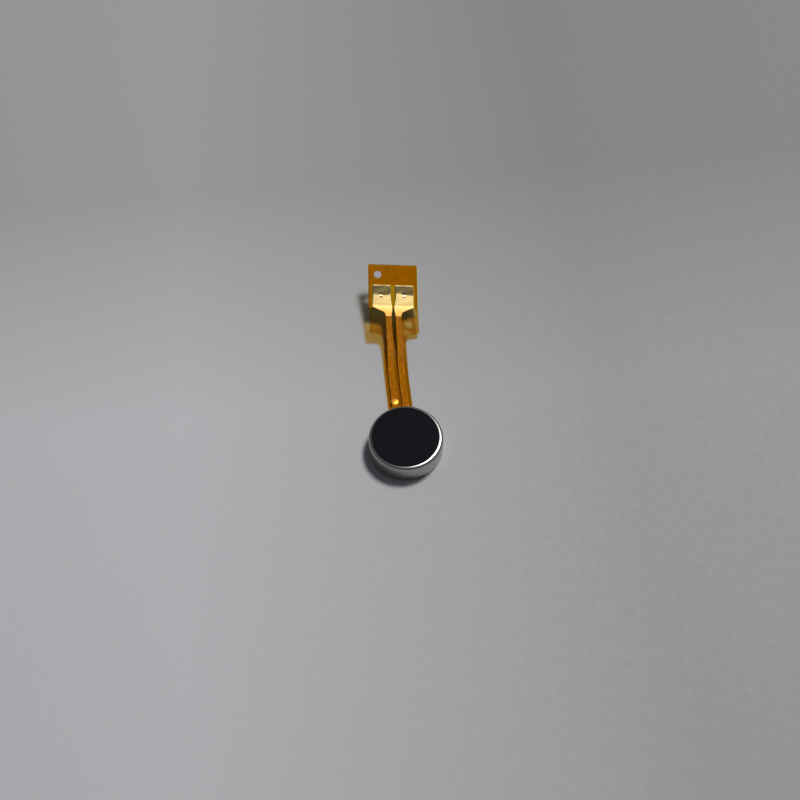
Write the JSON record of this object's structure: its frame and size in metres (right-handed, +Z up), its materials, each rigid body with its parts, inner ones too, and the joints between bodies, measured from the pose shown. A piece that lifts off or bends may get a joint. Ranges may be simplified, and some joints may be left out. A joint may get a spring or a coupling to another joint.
{
  "type": "vibration motor",
  "caption": "Coin-shaped vibration motor with a flexible printed tail that ends in two gold contact pads and two locating holes.",
  "frame": {"origin": "centre of the steel base's flat underside, on the rotor's axis", "axes": "+Z up along the rotor's axis towards the foam pad, +Y along the flexible tail, away from the motor"},
  "size_m": [0.01, 0.0335, 0.0052],
  "materials": {
    "nickel_steel": "satin nickel plate on drawn steel",
    "shaft_steel": "ground steel",
    "foam": "matt black foam",
    "tape": "acrylic transfer adhesive",
    "seal_glue": "cured clear adhesive",
    "washer_film": "slippery plastic film",
    "magnet": "plated sintered magnet",
    "brush_metal": "gold-clad spring leaf",
    "solder": "tin solder",
    "amber_film": "amber polyimide film",
    "cover_film": "amber polyimide cover film",
    "copper": "rolled copper foil",
    "gold_plate": "gold plating on copper",
    "bush_brass": "sintered bronze",
    "board": "glass-epoxy board",
    "winding": "enamelled copper wire",
    "tungsten": "sintered tungsten",
    "resin": "moulded resin",
    "stiffener_sheet": "pale glass-epoxy sheet",
    "sheet_glue": "clear bonding sheet"
  },
  "bodies": {
    "motor": {"top_case": "nickel_steel", "base_bracket": "nickel_steel", "adhesive_film": "tape", "foam_pad": "foam", "exit_seal": "seal_glue", "shaft": "shaft_steel", "lower_thrust_washer": "washer_film", "upper_thrust_washer": "washer_film", "ring_magnet": "magnet", "brush_left": "brush_metal", "brush_right": "brush_metal", "brush_solder": "solder", "flex_film_root": "amber_film", "track_left_root": "copper", "track_right_root": "copper", "cover_film_root": "cover_film", "test_land": "gold_plate"},
    "rotor": {"bearing_bush": "bush_brass", "commutator": "gold_plate", "rotor_board": "board", "coil_joints": "solder", "coil_left": "winding", "coil_right": "winding", "counterweight": "tungsten", "rotor_body": "resin"},
    "tail_end": {"flex_film_tip": "amber_film", "track_left_tip": "copper", "track_right_tip": "copper", "cover_film_tip": "cover_film", "contact_pad_left": "gold_plate", "contact_pad_right": "gold_plate", "stiffener_glue": "sheet_glue", "stiffener": "stiffener_sheet"}
  },
  "joints": [
    {"name": "rotor_spin", "type": "hinge", "parent": "motor", "child": "rotor", "pos_m": [0, 0, 0.0015], "axis": [0, 0, 1], "continuous": true},
    {"name": "tail_bend", "type": "hinge", "parent": "motor", "child": "tail_end", "pos_m": [0, 0.01, 0.00033], "axis": [1, 0, 0], "range_deg": [-4, 110], "stiffness_Nm_per_rad": 0.0004, "springref_deg": 0.63}
  ]
}
